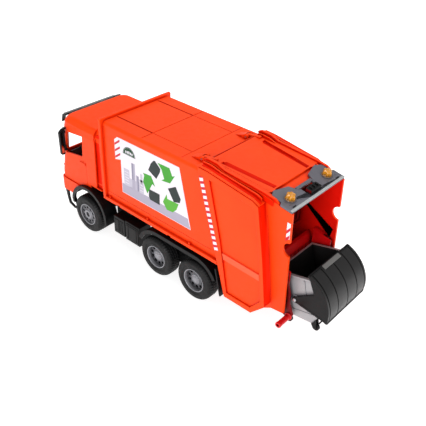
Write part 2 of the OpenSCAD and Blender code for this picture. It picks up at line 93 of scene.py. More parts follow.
def mix_node(tree, mask, low, high):
    """Blends from low to high by a mask. Either one is a fixed colour or another node's output."""
    mix = tree.nodes.new("ShaderNodeMix")
    mix.data_type = "RGBA"
    tree.links.new(mask, mix.inputs["Factor"])
    for socket, colour in (("A", low), ("B", high)):
        if isinstance(colour, tuple):
            mix.inputs[socket].default_value = colour
        else:
            tree.links.new(colour, mix.inputs[socket])
    return mix.outputs["Result"]


def shade(colour, k):
    return tuple(min(1.0, c * k) for c in colour[:3]) + (1.0,)


MASK = ((0, 0, 0, 1), (1, 1, 1, 1))
DRIFT_SCALE, GLOSS_SCALE, SPECK_SCALE = 16, 90, 1500
# Painted shade: an ambient occlusion node darkens creases and hollows towards a given darker colour.
CREASE_SHADE_SAMPLES, CREASE_SHADE_REACH = 8, 0.010
GRAIN_HEIGHT = 0.00012


def finish_material(name, colour, rough, spread=0.06, drift=0.05, grain=0.2, grain_scale=2600, coat=0.0,
                    coat_rough=0.1, metal=0.0, specks=None, brushed=None, spec=0.5, transmission=0.0, crease_shade=None):
    """A moulded, filmed or metal surface: colour drift, uneven gloss, a fine grain, specks and painted shade in its
    creases.
    """
    m = bpy.data.materials.new(name)
    m.use_nodes = True
    t = m.node_tree
    b = t.nodes["Principled BSDF"]
    where = t.nodes.new("ShaderNodeTexCoord").outputs["Object"]
    cloud = noise_node(t, DRIFT_SCALE, 3, where, brushed)
    col = ramp_node(t, cloud, shade(colour, 1 - drift), shade(colour, 1 + drift))
    if specks:
        col = mix_node(t, ramp_node(t, noise_node(t, SPECK_SCALE, 1, where), *MASK, 0.64, 0.72), col, specks)
    # painted shade: where ambient occlusion finds close surfaces, the colour turns to the darker crease colour
    if crease_shade:
        crease_shade_ao = t.nodes.new("ShaderNodeAmbientOcclusion")
        crease_shade_ao.samples = CREASE_SHADE_SAMPLES
        crease_shade_ao.inputs["Distance"].default_value = CREASE_SHADE_REACH
        col = mix_node(t, ramp_node(t, crease_shade_ao.outputs["AO"], *MASK, 0.36, 0.9), crease_shade, col)
    t.links.new(col, b.inputs["Base Color"])
    r = t.nodes.new("ShaderNodeMapRange")
    r.inputs["From Min"].default_value, r.inputs["From Max"].default_value = 0.3, 0.7
    r.inputs["To Min"].default_value, r.inputs["To Max"].default_value = rough - spread, rough + spread
    t.links.new(noise_node(t, GLOSS_SCALE, 4, where, brushed), r.inputs["Value"])
    t.links.new(r.outputs["Result"], b.inputs["Roughness"])
    bump = t.nodes.new("ShaderNodeBump")
    bump.inputs["Strength"].default_value = grain
    bump.inputs["Distance"].default_value = GRAIN_HEIGHT
    t.links.new(noise_node(t, grain_scale, 2, where, brushed), bump.inputs["Height"])
    t.links.new(bump.outputs["Normal"], b.inputs["Normal"])
    b.inputs["Metallic"].default_value = metal
    b.inputs["Specular IOR Level"].default_value = spec
    b.inputs["Coat Weight"].default_value = coat
    b.inputs["Coat Roughness"].default_value = coat_rough
    b.inputs["Transmission Weight"].default_value = transmission
    return m


M = {
    "orange": finish_material("orange_moulding", rgb(246, 66, 8), 0.42, grain=0.18, drift=0.04, spec=0.14,
                              crease_shade=rgb(190, 6, 0)),
    # Painted shade: a deep red for the hopper's inner walls, standing in for the shade inside it.
    "orange_inner_shaded": finish_material("orange_inner_walls_painted_shade", rgb(226, 16, 4), 0.46, grain=0.18, drift=0.05, spec=0.1,
                                    crease_shade=rgb(120, 2, 0)),
    # Painted shade: a dark red for recesses, channels and flanks, standing in for the shade in them.
    "orange_shaded": finish_material("orange_recess_painted_shade", rgb(228, 28, 0), 0.44, grain=0.18, drift=0.05, spec=0.04,
                                   crease_shade=rgb(176, 4, 0)),
    # Painted highlight: a paler orange for the raised bar's face that catches the light.
    "orange_highlit": finish_material("orange_raised_bar_painted_highlight", rgb(255, 92, 58), 0.42, grain=0.18, drift=0.03, spec=0.14),
    "red": finish_material("red_moulding", rgb(206, 6, 10), 0.38, grain=0.15, drift=0.06, spec=0.35,
                           crease_shade=rgb(128, 2, 2)),
    # Painted shade: a dark red for the lift arms, cross bar and lower packer, standing in for the shade on them.
    "red_dark": finish_material("red_painted_shade", rgb(116, 4, 8), 0.42, grain=0.15, drift=0.08, spec=0.2,
                                crease_shade=rgb(36, 0, 0)),
    "black": finish_material("black_moulding", rgb(7, 7, 8), 0.4, grain=0.35, drift=0.14, spread=0.08, spec=0.22),
    "rubber": finish_material("tyre_rubber", rgb(10, 10, 11), 0.5, grain=0.6, drift=0.15, spread=0.1,
                              grain_scale=1800, specks=rgb(26, 26, 26), spec=0.24),
    "silver": finish_material("silver_moulding", rgb(134, 132, 138), 0.34, grain=0.25, drift=0.06,
                              crease_shade=rgb(52, 52, 56), specks=rgb(165, 163, 170), metal=0.25),
    "rim": finish_material("rim_moulding", rgb(136, 136, 141), 0.3, grain=0.25, drift=0.06, crease_shade=rgb(34, 34, 37),
                           specks=rgb(150, 150, 156), metal=0.25),
    # Painted shade: a darker copy of the rim colour for the recessed dish.
    "rim_shade": finish_material("rim_dish_painted_shade", rgb(80, 80, 85), 0.34, grain=0.25, drift=0.08, crease_shade=rgb(20, 20, 22),
                                 specks=rgb(96, 96, 102), metal=0.2),
    # Painted shade: a near-black disc and core behind the dish holes, where only shade shows.
    "rim_hole_shadow": finish_material("rim_recess_painted_shade", rgb(24, 24, 26), 0.5, grain=0.3, drift=0.1),
    "bin": finish_material("bin_moulding", rgb(162, 161, 163), 0.36, grain=0.25, drift=0.05, crease_shade=rgb(80, 76, 84),
                           specks=rgb(186, 183, 190), metal=0.2),
    "plate": finish_material("lamp_plate_moulding", rgb(98, 97, 105), 0.36, grain=0.25, drift=0.07,
                             crease_shade=rgb(30, 30, 34), specks=rgb(118, 117, 126), metal=0.2),
    # Painted highlight: a lighter grey for the lamp plate's lit edge.
    "plate_edge_highlit": finish_material("lamp_plate_edge_painted_highlight", rgb(166, 170, 170), 0.34, grain=0.2, drift=0.06, metal=0.2),
    "lid": finish_material("lid_moulding", rgb(29, 28, 28), 0.36, spec=0.36, grain=0.3, drift=0.1,
                           crease_shade=rgb(6, 6, 6)),
    "grip": finish_material("grip_moulding", rgb(102, 101, 99), 0.42, grain=0.3, drift=0.08),
    "amber": finish_material("amber_lens", rgb(226, 148, 14), 0.14, grain=0.05, drift=0.14, coat=0.8,
                             coat_rough=0.05, spread=0.04, transmission=0.15, crease_shade=rgb(84, 46, 4)),
    # Painted shade: a darker brown amber for the beacons' foot.
    "amber_foot_shaded": finish_material("amber_lens_foot_painted_shade", rgb(128, 84, 12), 0.2, grain=0.05, drift=0.14, coat=0.5),
    "steel": finish_material("bright_steel", rgb(190, 190, 194), 0.3, grain=0.2, drift=0.06, metal=1.0,
                             brushed=(1, 14, 1)),
    "glass": finish_material("mirror_foil", rgb(205, 208, 212), 0.12, grain=0.03, drift=0.03, metal=1.0,
                             spread=0.03),
}
FILMS = {
    "film": ("label_white", rgb(226, 220, 228), 0.02),
    "film_red": ("label_red", rgb(196, 16, 44), 0.03),
    "film_lilac": ("label_lilac", rgb(166, 160, 178), 0.03),
    "film_pale": ("label_pale_lilac", rgb(186, 181, 196), 0.03),
    "film_slate": ("label_slate", rgb(132, 128, 148), 0.03),
    "film_dark": ("label_dark", rgb(26, 38, 38), 0.08),
    "film_green": ("label_green", rgb(58, 150, 38), 0.05),
    "film_leaf": ("label_leaf", rgb(80, 162, 46), 0.05),
    "film_pine": ("label_pine", rgb(14, 62, 34), 0.08),
}
for key, (title, ink, ink_drift) in FILMS.items():
    M[key] = finish_material(title, ink, 0.4, grain=0.08, drift=ink_drift, spec=0.3)


# ---------------------------------------------------------------- mesh helpers

BAR_CHAMFER = 0.4
SHARP = math.radians(24)
WELD = 0.01
FLAT = math.radians(0.6)


def prism(bm, outline, y0, y1, mat=0):
    """An outline in x and z, made solid from y0 to y1."""
    near = [bm.verts.new((x, y0, z)) for x, z in outline]
    far = [bm.verts.new((x, y1, z)) for x, z in outline]
    n = len(outline)
    faces = [bm.faces.new(near), bm.faces.new(far[::-1])]
    for i in range(n):
        faces.append(bm.faces.new((near[i], far[i], far[(i + 1) % n], near[(i + 1) % n])))
    for f in faces:
        f.material_index = mat


def block(bm, low, high, mat=0):
    (x0, y0, z0), (x1, y1, z1) = low, high
    prism(bm, [(x0, z0), (x1, z0), (x1, z1), (x0, z1)], y0, y1, mat)


def revolve(bm, profile, x, z, count=96, mat=0, start=0.0, turn=360.0, height=None):
    """A closed profile of (radius, y) turned about the line along y through x and z. height(i, r, y) may change r."""
    full = turn == 360
    steps = count if full else count + 1
    rings = []
    for i in range(steps):
        a = math.radians(start + turn * i / count)
        ring = []
        for r, y in profile:
            rr = height(i, r, y) if height else r
            ring.append(bm.verts.new((x + rr * math.cos(a), y, z + rr * math.sin(a))))
        rings.append(ring)
    n = len(profile)
    for i in range(count):
        a, b = rings[i], rings[(i + 1) % steps]
        for j in range(n):
            k = (j + 1) % n
            if profile[j][0] == profile[k][0] == 0:
                continue
            f = bm.faces.new((a[j], a[k], b[k], b[j]))
            f.material_index = mat
    if not full:
        bm.faces.new(rings[0][::-1]).material_index = mat
        bm.faces.new(rings[-1]).material_index = mat


def bar(bm, x, z, r, y0, y1, count):
    """A round bar along y with chamfered ends."""
    end = r - BAR_CHAMFER
    revolve(bm, [(0, y0), (end, y0), (r, y0 + BAR_CHAMFER), (r, y1 - BAR_CHAMFER), (end, y1), (0, y1)], x, z, count)


def tube(bm, path, r, count):
    """A round rod along a path of points."""
    points = [Vector(p) for p in path]
    rings = []
    for i, p in enumerate(points):
        d = (points[min(i + 1, len(points) - 1)] - points[max(i - 1, 0)]).normalized()
        side = d.cross(Vector((0, 0, 1)) if abs(d.z) < 0.9 else Vector((0, 1, 0))).normalized()
        up = side.cross(d)
        rings.append([bm.verts.new(p + (side * math.cos(a) + up * math.sin(a)) * r)
                      for a in (2 * math.pi * k / count for k in range(count))])
    for a, b in zip(rings, rings[1:]):
        for k in range(count):
            bm.faces.new((a[k], a[(k + 1) % count], b[(k + 1) % count], b[k]))
    bm.faces.new(rings[0][::-1])
    bm.faces.new(rings[-1])


def ring_points(x, z, r, count, start=0.0):
    return [(x + r * math.cos(math.radians(start + 360 * i / count)),
             z + r * math.sin(math.radians(start + 360 * i / count))) for i in range(count)]


def pierced(bm, outer, holes, y0, y1, mat=0):
    """A plate with an outline and holes in x and z, from y0 to y1."""
    edges = []
    for loop in [outer] + holes:
        vs = [bm.verts.new((px, y0, pz)) for px, pz in loop]
        edges += [bm.edges.new((vs[i], vs[(i + 1) % len(vs)])) for i in range(len(vs))]
    fill = bmesh.ops.triangle_fill(bm, edges=edges, use_beauty=True)
    faces = [g for g in fill["geom"] if isinstance(g, bmesh.types.BMFace)]
    for f in faces:
        f.material_index = mat
    more = bmesh.ops.extrude_face_region(bm, geom=faces)
    for v in (g for g in more["geom"] if isinstance(g, bmesh.types.BMVert)):
        v.co.y = y1


def both_sides(bm):
    """Adds the mirror image of everything in bm across the centre plane."""
    more = bmesh.ops.duplicate(bm, geom=bm.verts[:] + bm.edges[:] + bm.faces[:])["geom"]
    for v in (g for g in more if isinstance(g, bmesh.types.BMVert)):
        v.co.y = -v.co.y
    bmesh.ops.reverse_faces(bm, faces=[g for g in more if isinstance(g, bmesh.types.BMFace)])


def add_to(bm, part):
    """Puts part's shapes into bm as well."""
    bmesh.ops.recalc_face_normals(part, faces=part.faces[:])
    mesh = bpy.data.meshes.new("joined")
    part.to_mesh(mesh)
    part.free()
    bm.from_mesh(mesh)
    bpy.data.meshes.remove(mesh)


def mirror_into(bm, side):
    """Puts side's shapes and their mirror image into bm."""
    both_sides(side)
    add_to(bm, side)


def groove(bm, ax, az, bx, bz, width, y0, y1):
    """A straight bar between two points in x and z, to cut or to raise a line."""
    d = Vector((bx - ax, bz - az)).normalized() * width / 2
    n = Vector((-d.y, d.x))
    ax, az, bx, bz = ax - d.x, az - d.y, bx + d.x, bz + d.y
    prism(bm, [(ax + n.x, az + n.y), (bx + n.x, bz + n.y), (bx - n.x, bz - n.y), (ax - n.x, az - n.y)], y0, y1)


def soften(bm, width, segments=2):
    """Rounds the outward edges. Where a short edge throws a corner off the surface, it is put back."""
    edges = [e for e in bm.edges if e.is_manifold and e.is_convex and e.calc_face_angle(0) > SHARP]
    if not edges or not width:
        return
    before = BVHTree.FromBMesh(bm)
    bmesh.ops.bevel(bm, geom=edges, offset=width, offset_type="OFFSET", segments=segments, profile=0.5,
                    affect="EDGES", clamp_overlap=False, loop_slide=True)
    for v in bm.verts:
        near = before.find_nearest(v.co)[0]
        if (v.co - near).length > 0.5 * width + 0.02:
            v.co = near


def even_normals(o, angle):
    """Smooth shading up to an angle in degrees, with large flat faces kept flat."""
    o.data.shade_smooth()
    o.data.set_sharp_from_angle(angle=math.radians(angle))
    w = o.modifiers.new("even", "WEIGHTED_NORMAL")
    w.keep_sharp = True
    settle(o)


def settle(o):
    """Applies the modifiers."""
    bpy.context.view_layer.update()
    graph = bpy.context.evaluated_depsgraph_get()
    mesh = bpy.data.meshes.new_from_object(o.evaluated_get(graph), preserve_all_data_layers=True, depsgraph=graph)
    o.modifiers.clear()
    o.data = mesh


def make(name, bm, mats, body, replaces=(), angle=32):
    """Turns bm, in millimetres, into a finished piece that moves with a body."""
    bmesh.ops.recalc_face_normals(bm, faces=bm.faces[:])
    bmesh.ops.scale(bm, vec=(MM, MM, MM), verts=bm.verts[:])
    mesh = bpy.data.meshes.new(name)
    bm.to_mesh(mesh)
    bm.free()
    o = bpy.data.objects.new(name, mesh)
    scene.collection.objects.link(o)
    for m in mats:
        mesh.materials.append(M[m])
    even_normals(o, angle)
    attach(o, body)
    if replaces:
        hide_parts(*replaces)
    return o


def cad_mesh(node):
    """A node's mesh in millimetres, welded and with its flat faces whole."""
    bm = bmesh.new()
    bm.from_mesh(nodes[node].data)
    bmesh.ops.scale(bm, vec=(1 / MM, 1 / MM, 1 / MM), verts=bm.verts[:])
    bmesh.ops.remove_doubles(bm, verts=bm.verts[:], dist=WELD)
    bmesh.ops.dissolve_limit(bm, angle_limit=FLAT, verts=bm.verts[:], edges=bm.edges[:])
    for f in bm.faces:
        f.material_index = 0
    return bm


def cut(bm, cutters):
    """Takes the cutters' solids out of bm."""
    objects = []
    for k, part in enumerate((bm, cutters)):
        bmesh.ops.recalc_face_normals(part, faces=part.faces[:])
        mesh = bpy.data.meshes.new("cut%d" % k)
        part.to_mesh(mesh)
        part.free()
        o = bpy.data.objects.new("cut%d" % k, mesh)
        scene.collection.objects.link(o)
        objects.append(o)
    work, tool = objects
    b = work.modifiers.new("cut", "BOOLEAN")
    b.operation, b.solver, b.object, b.use_self = "DIFFERENCE", "EXACT", tool, True
    settle(work)
    out = bmesh.new()
    out.from_mesh(work.data)
    for o in objects:
        bpy.data.objects.remove(o)
    return out


def from_cad(node, mats, width, cutters=None, extra=None, angle=32):
    """A node's shape with rounded edges, cuts and added detail, in one material or a list of them."""
    bm = cad_mesh(node)
    soften(bm, width)
    if cutters:
        tools = bmesh.new()
        cutters(tools)
        bm = cut(bm, tools)
    if extra:
        extra(bm)
    mats = [mats] if isinstance(mats, str) else mats
    return make(node + "_finished", bm, mats, nodes[node]["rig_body"], [node], angle)


# ---------------------------------------------------------------- truck sizes, in millimetres

AXLE_Z = 46.0
AXLES = {"front": 255.0, "middle": 29.0, "rear": -80.0}
WHEEL_OUT = 109.0
TYRE_W = 32.0
BIN_X, BIN_Z = -290.5, 99.8
BIN_INNER_Y = 54.3
LID_R = 72.0
WALL_Y = 95.0
PANEL_Y = 101.0
TAIL_WALL_Y = 81.2


# ---------------------------------------------------------------- wheels

SIDEWALL = [(26.5, 3.0), (27.2, 1.4), (28.6, 0.8), (31.0, 0.3), (31.6, 0.75), (32.2, 0.75), (32.8, 0.15), (36.0, 0.0),
            (39.6, 0.25), (40.2, 0.85), (40.8, 0.9), (41.4, 0.7), (43.2, 1.9), (44.6, 3.6), (45.4, 5.4)]
TREAD = [(45.8, 7.2), (45.9, 9.0), (46.0, 9.4), (44.9, 9.9), (44.9, 10.9), (46.0, 11.4), (46.0, 13.0), (46.0, 14.9),
         (44.9, 15.4)]


def tyre_profile():
    half = SIDEWALL + TREAD
    other = [(r, TYRE_W - w) for r, w in half[::-1]]
    return [(r, WHEEL_OUT - w) for r, w in half + other]


def tread_height(i, r, y):
    """Blocks: cross grooves that step over from band to band."""
    across = abs((WHEEL_OUT - y) - TYRE_W / 2)
    if r > 43.0 and across > 6.2:
        return r - (0.9 if i % 4 == 0 else 0.0)
    if r > 45.0:
        return r - (0.7 if i % 4 == 2 else 0.0)
    return r


RIM_LIP = [(26.5, 3.2), (26.5, 1.3), (26.0, 0.7), (25.0, 0.6), (24.2, 1.1), (23.9, 2.0)]
RIM_BARREL = [(23.9, 31.0), (26.5, 31.0), (26.5, 28.0)]
FRONT_HUB = [(0, 6.0), (5.2, 6.0), (5.6, 5.4), (6.0, 1.6), (6.6, 0.8), (9.6, 0.5), (10.6, 0.9), (11.2, 2.2),
             (12.4, 3.7), (13.4, 4.4), (13.4, 8.0), (0, 8.0)]
REAR_HUB = [(0, 4.6), (5.4, 4.6), (6.2, 5.0), (6.8, 5.8), (7.6, 5.9), (9.8, 6.2), (10.8, 6.8), (11.4, 8.2),
            (12.6, 9.3), (12.6, 13.0), (0, 13.0)]
# depth of the dish, hole radius, hole circle, hub, nut circle, depth of the nuts
FRONT_RIM = (4.0, 2.8, 17.6, FRONT_HUB, 14.4, 3.2)
REAR_RIM = (9.0, 3.5, 18.0, REAR_HUB, 9.0, 5.4)
SPOKES = 10


def build_wheels(which):
    x = AXLES[which]
    body = which + "_wheelset"
    bm = bmesh.new()
    revolve(bm, tyre_profile(), x, AXLE_Z, 176, 0, height=tread_height)
    both_sides(bm)
    make(which + "_tyres_treaded", bm, ["rubber"], body, [which + "_tyres"], 40)

    dish, hole_r, hole_ring, hub, nut_ring, nut_depth = FRONT_RIM if which == "front" else REAR_RIM
    out = WHEEL_OUT
    bm = bmesh.new()
    rim = RIM_LIP + [(23.5, dish + 3.4)] + RIM_BARREL
    revolve(bm, [(r, out - w) for r, w in rim], x, AXLE_Z, 96)
    holes = [ring_points(px, pz, hole_r, 20) for px, pz in ring_points(x, AXLE_Z, hole_ring, SPOKES, 9)]
    # the dish, in the darker rim colour of painted shade
    pierced(bm, ring_points(x, AXLE_Z, 23.7, 96), holes, out - dish - 3, out - dish, 2)
    revolve(bm, [(r, out - w) for r, w in hub], x, AXLE_Z, 64)
    top, foot = out - nut_depth, out - dish - 1
    for nx, nz in ring_points(x, AXLE_Z, nut_ring, SPOKES, 27):
        revolve(bm, [(0, top), (0.75, top), (1.1, top - 0.35), (1.1, foot), (0, foot)], nx, nz, 6)
    # a dark disc and core behind the holes, standing in for the shade seen through them
    prism(bm, ring_points(x, AXLE_Z, 23.6, 64), out - dish - 7.5, out - dish - 6.0, 1)
    revolve(bm, [(0, out - 14), (8, out - 14), (8, out - 29.5), (7, out - 30.5), (0, out - 30.5)], x, AXLE_Z, 32, 1)
    both_sides(bm)
    make(which + "_rims_drilled", bm, ["rim", "rim_hole_shadow", "rim_shade"], body, [which + "_rims"], 30)


for wheelset in AXLES:
    build_wheels(wheelset)


# ---------------------------------------------------------------- chassis and black mouldings

def hoop_r(a):
    """Radius of the front mudguard at an angle in degrees: it grows towards the top and shrinks behind it."""
    return 58 + 10 * math.sin(math.radians(min(a * 1.35, 90))) - 0.09 * max(a - 100, 0)


def hoop_at(a, inset=0.0):
    r = hoop_r(a) - inset
    return (AXLES["front"] + r * math.cos(math.radians(a)), AXLE_Z + r * math.sin(math.radians(a)))


def guard_arc(x, start, end, r=60.0):
    return [(x + r * math.cos(math.radians(a)), AXLE_Z + r * math.sin(math.radians(a)))
            for a in (start + (end - start) * i / 12 for i in range(13))]


def front_lips(bm):
    side = bmesh.new()
    rim = bmesh.new()
    band = [hoop_at(a, -0.3) for a in range(14, 177, 6)] + [(193.4, 40)]
    inner = [(198.4, 41)] + [hoop_at(a, 7.0) for a in range(176, 13, -6)]
    prism(rim, band + inner, 100.6, 104.6)
    soften(rim, 1.5, 3)
    add_to(side, rim)
    prism(side, [(170, 36), (202, 36), (202, 102), (170, 102)], 60.0, 63.0)
    mirror_into(bm, side)


def rear_lips(bm):
    side = bmesh.new()
    rim = bmesh.new()
    inner = guard_arc(AXLES["rear"], 152, 90, 52.0) + guard_arc(AXLES["middle"], 90, 24, 52.0)
    outer = guard_arc(AXLES["middle"], 24, 90, 60.5) + guard_arc(AXLES["rear"], 90, 152, 60.5)
    prism(rim, outer + inner, 100.6, 104.6)
    soften(rim, 1.6, 3)
    add_to(side, rim)
    prism(side, [(-128, 64), (-62, 64), (-55, 30), (4, 30), (11, 64), (78, 64), (78, 103), (-128, 103)], 66.0, 69.0)
    mirror_into(bm, side)


def side_box_detail(bm):
    side = bmesh.new()
    for x0, x1, z0, z1, y, ribs in ((97.5, 135.5, 34, 74, 96.0, (103.5, 129.5)),
                                    (145, 175, 35, 72, 94.5, (152, 159, 163))):
        for px in ribs:
            block(side, (px - 0.8, y - 0.4, z0 + 3), (px + 0.8, y + 0.7, z1 - 6))
        block(side, (x0 + 2, y - 0.4, z1 - 5), (x1 - 2, y + 0.9, z1 - 3.4))
        bar(side, x0 + 3.2, z0 + 3.2, 1.3, y - 0.5, y + 0.8, 12)
        bar(side, x1 - 3.2, z0 + 3.2, 1.3, y - 0.5, y + 0.8, 12)
    mirror_into(bm, side)


def chassis_detail(bm):
    side = bmesh.new()
    for px in range(-120, 321, 22):
        bar(side, px, 84, 2.2, 35.6, 37.2, 6)
        bar(side, px + 11, 73, 1.6, 35.6, 36.8, 12)
    mirror_into(bm, side)
    tube(bm, [(x, 0, 70) for x in (-120, -40, 40, 120, 200, 300)], 5.0, 14)
    for px in (-120, 0, 120, 290):
        tube(bm, [(px - 5, 0, 70), (px + 5, 0, 70)], 7.0, 14)


def bumper_detail(bm):
    for sy in (-1, 1):
        for k in range(3):
            block(bm, (362.0, sy * 52 - 12, 50 + 6 * k), (363.0, sy * 52 + 12, 52.4 + 6 * k))
    block(bm, (362.0, -26, 52), (363.2, 26, 64))


def packer_detail(bm):
    for y in (-60, -36, -12, 12, 36, 60):
        prism(bm, [(-195.2, 168), (-198.2, 174), (-198.2, 256), (-195.2, 262)], y - 1.2, y + 1.2)
    block(bm, (-197.6, -70, 160.5), (-194.5, 70, 164))
    for y in (-9, 0, 9):
        block(bm, (-262, y - 1, 299), (-255, y + 1, 302))


def mirror_back(bm, side):
    for k in range(3):
        z = 190 + 16 * k
        lo, hi = sorted((side * 105.5, side * 110.5))
        block(bm, (329.8, lo, z), (330.6, hi, z + 8))


# node: rounding of its edges and added detail
BLACK = {
    "chassis_frame": (0.8, chassis_detail), "front_axle_beam": (0.8, None), "rear_bogie": (0.8, None),
    "body_mounts": (0.8, None), "front_mudguards": (0.4, front_lips), "rear_mudguards": (0.4, rear_lips),
    "mud_flaps": (0.5, None), "side_boxes": (1.2, side_box_detail), "cab_steps": (1.0, None),
    "front_bumper": (1.6, bumper_detail), "radiator_grille": (0.5, None), "sun_visor": (0.9, None),
    "dashboard": (1.2, None), "cab_seats": (2.5, None), "left_mirror": (0.5, lambda bm: mirror_back(bm, 1)),
    "right_mirror": (0.5, lambda bm: mirror_back(bm, -1)), "mirror_mounts": (0.4, None), "castor_forks": (0.3, None),
}
for node, (width, extra) in BLACK.items():
    from_cad(node, "black", width, None, extra)


# ---------------------------------------------------------------- castors of the container

TILT = math.radians(15.0)


def bin_point(u, w):
    """From the container's own frame, level and centred on its lid pins, to x and z."""
    return (BIN_X + u * math.cos(TILT) + w * math.sin(TILT), BIN_Z - u * math.sin(TILT) + w * math.cos(TILT))


for name, u in (("front_castor_wheels", 27.0), ("rear_castor_wheels", -33.0)):
    cx, cz = bin_point(u, -54.4)
    bm = bmesh.new()
    revolve(bm, [(0, 50.6), (3.0, 50.6), (3.4, 51.0), (5.2, 51.0), (5.6, 50.4), (6.9, 50.2), (7.4, 50.8), (7.4, 55.2),
                 (6.9, 55.8), (5.6, 55.6), (5.2, 55.0), (3.4, 55.0), (3.0, 55.4), (0, 55.4)], cx, cz, 40)
    bar(bm, cx, cz, 1.5, 0.0, 58.5, 16)
    both_sides(bm)
    make(name + "_turned", bm, ["black"], nodes[name]["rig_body"], [name])


# ---------------------------------------------------------------- cab

def cab_cuts(bm):
    side = bmesh.new()
    groove(side, 262, 172, 262, 112, 0.6, 94.5, 99.0)
    prism(side, [(206, 123), (230, 123), (228.5, 170), (227, 240), (222, 254), (206, 258)], 90.0, 100.0)
    mirror_into(bm, side)
    prism(bm, [(206, 258.5), (220.5, 257.5), (220.5, 270), (206, 270)], -73, 73)


ROOF_RINGS = ((238, 94.7, 348, 27), (252, 93.2, 342.5, 23), (259.0, 88.5, 337.5, 20), (262.8, 84.0, 333, 17),
              (264.7, 79, 327, 14))
ROOF_CAP_REAR = 229.0
CORNER_STEPS = 8


def cab_roof(bm):
    """The rounded cap over the cab, ring by ring up from the window line: height, half width, front and radius."""
    rings = []
    for z, half, front, r in ROOF_RINGS:
        turns = [math.radians(90 * k / CORNER_STEPS) for k in range(CORNER_STEPS + 1)]
        plan = [(ROOF_CAP_REAR, -half)] + [(front - r + r * math.sin(a), -half + r - r * math.cos(a)) for a in turns]
        plan += [(px, -py) for px, py in plan[::-1]]
        rings.append([bm.verts.new((px, py, z)) for px, py in plan])
    for low, high in zip(rings, rings[1:]):
        for i in range(len(low)):
            j = (i + 1) % len(low)
            bm.faces.new((low[i], low[j], high[j], high[i]))
    bm.faces.new(rings[0])
    bm.faces.new(rings[-1][::-1])


def cab_extra(bm):
    cab_roof(bm)
    side = bmesh.new()
    prism(side, [(264, 166), (282, 166), (282, 171), (264, 171)], 94.6, 97.0)
    prism(side, [(262.5, 163), (284, 163), (284, 174), (262.5, 174)], 94.6, 95.5)
    # Inset panels at the cab's rear, in the dark red painted shade.
    prism(side, [(212, 122), (231.5, 122), (230, 170), (228.5, 240), (224, 253), (212, 255)], 82.5, 89.6, 1)
    soften(side, 0.4)
    mirror_into(bm, side)
    prism(bm, [(212, 244), (222.5, 244), (221.5, 254), (212, 255)], -82, 82)


from_cad("cab_shell", ["orange", "orange_shaded"], 0.0, cab_cuts, cab_extra, angle=30)


def wipers():
    """Two wipers on the windscreen opening."""
    bm = bmesh.new()
    for y in (-40, 18):
        tube(bm, [(356.2, y, 168), (356.6, y + 4, 172), (355.2, y + 18, 196), (352.6, y + 30, 214)], 0.9, 8)
        tube(bm, [(355.6, y + 8, 178), (353.2, y + 36, 214)], 0.8, 8)
        knob = [(0, y - 3), (2.6, y - 3), (3.0, y - 2.4), (3.0, y + 2.4), (2.6, y + 3), (0, y + 3)]
        revolve(bm, knob, 355.0, 167, 20)
    make("windscreen_wipers", bm, ["black"], "truck")


wipers()


def lamp_detail(bm):
    for sy in (-1, 1):
        for k in range(2):
            y = sy * (65 + 12 * k)
            low = [bm.verts.new((361.6, py, pz)) for py, pz in ring_points(y, 89, 4.8, 24)]
            top = [bm.verts.new((362.5, py, pz)) for py, pz in ring_points(y, 89, 3.84, 24)]
            bm.faces.new(low)
            bm.faces.new(top[::-1])
            for i in range(24):
                bm.faces.new((low[i], low[(i + 1) % 24], top[(i + 1) % 24], top[i]))


from_cad("headlights", "silver", 0.5, None, lamp_detail)

for side, body in ((1, "left_mirror_arm"), (-1, "right_mirror_arm")):
    bm = bmesh.new()
    lo, hi = sorted((side * 105.0, side * 110.4))
    block(bm, (323.6, lo, 180.2), (324.5, hi, 229.2))
    soften(bm, 0.25)
    make(body.replace("_arm", "_glass"), bm, ["glass"], body)

from_cad("steering_wheel", "black", 0.0, angle=50)


# ---------------------------------------------------------------- refuse body

def body_cuts(bm):
    side = bmesh.new()
    groove(side, -112, 135.4, 189, 134.2, 0.9, 94.3, 97)
    groove(side, 188.4, 124, 188.4, 290, 0.9, 94.3, 97)
    prism(side, [(84, 297.2), (188, 297.2), (188, 302), (84, 302)], 56.0, 59.8)
    for px in (146, -8):
        prism(side, [(px, 112.4), (px + 9, 112.4), (px + 9, 116), (px, 116)], 98.5, 103)
    mirror_into(bm, side)


def body_extra(bm):
    side = bmesh.new()
    prism(side, [(-34, 298.4), (-56.6, 306.4), (-56.6, 298.0)], 54.5, 72.2)
    for y0, y1 in ((54.2, 58.8), (67.8, 72.4)):
        prism(side, [(-52, 298.4), (-66.5, 307.6), (-66.5, 300.5), (-60, 298.0)], y0, y1)
    for px in (178, 60, -60):
        prism(side, [(px, 119.4), (px + 3, 119.4), (px + 3, 126), (px, 124)], 94.5, 99.5)
    soften(side, 0.35)
    mirror_into(bm, side)


from_cad("body_shell", "orange", 0.8, body_cuts, body_extra)
from_cad("body_front_wall", "orange", 1.0)
from_cad("body_floor", "orange", 0.5)
from_cad("ejector_plate", "red", 0.8)
from_cad("ejector_handle", "red", 0.5)


# ---------------------------------------------------------------- tailgate

def panel_cuts(bm):
    side = bmesh.new()
    groove(side, -136, 272, -146, 182, 0.9, 97.8, 99.5)
    groove(side, -200, 120, -232, 90, 0.9, 97.8, 99.5)
    groove(side, -146, 122, -168, 64, 0.9, 97.9, 99.5)
    prism(side, [(-146.5, 134.8), (-222.5, 151), (-226, 140.5), (-149, 123.5)], 97.55, 102)
    mirror_into(bm, side)


def panel_extra(bm):
    side = bmesh.new()
    # the raised bar, in the paler orange painted highlight
    prism(side, [(-144.5, 146.5), (-231.5, 144.5), (-233.5, 131.5), (-147.5, 133.5)], 97.0, 100.0, 2)
    soften(side, 0.5)
    mirror_into(bm, side)


def wall_cuts(bm):
    side = bmesh.new()
    groove(side, -225, 263, -251, 85, 0.9, 80.4, 83)
    mirror_into(bm, side)


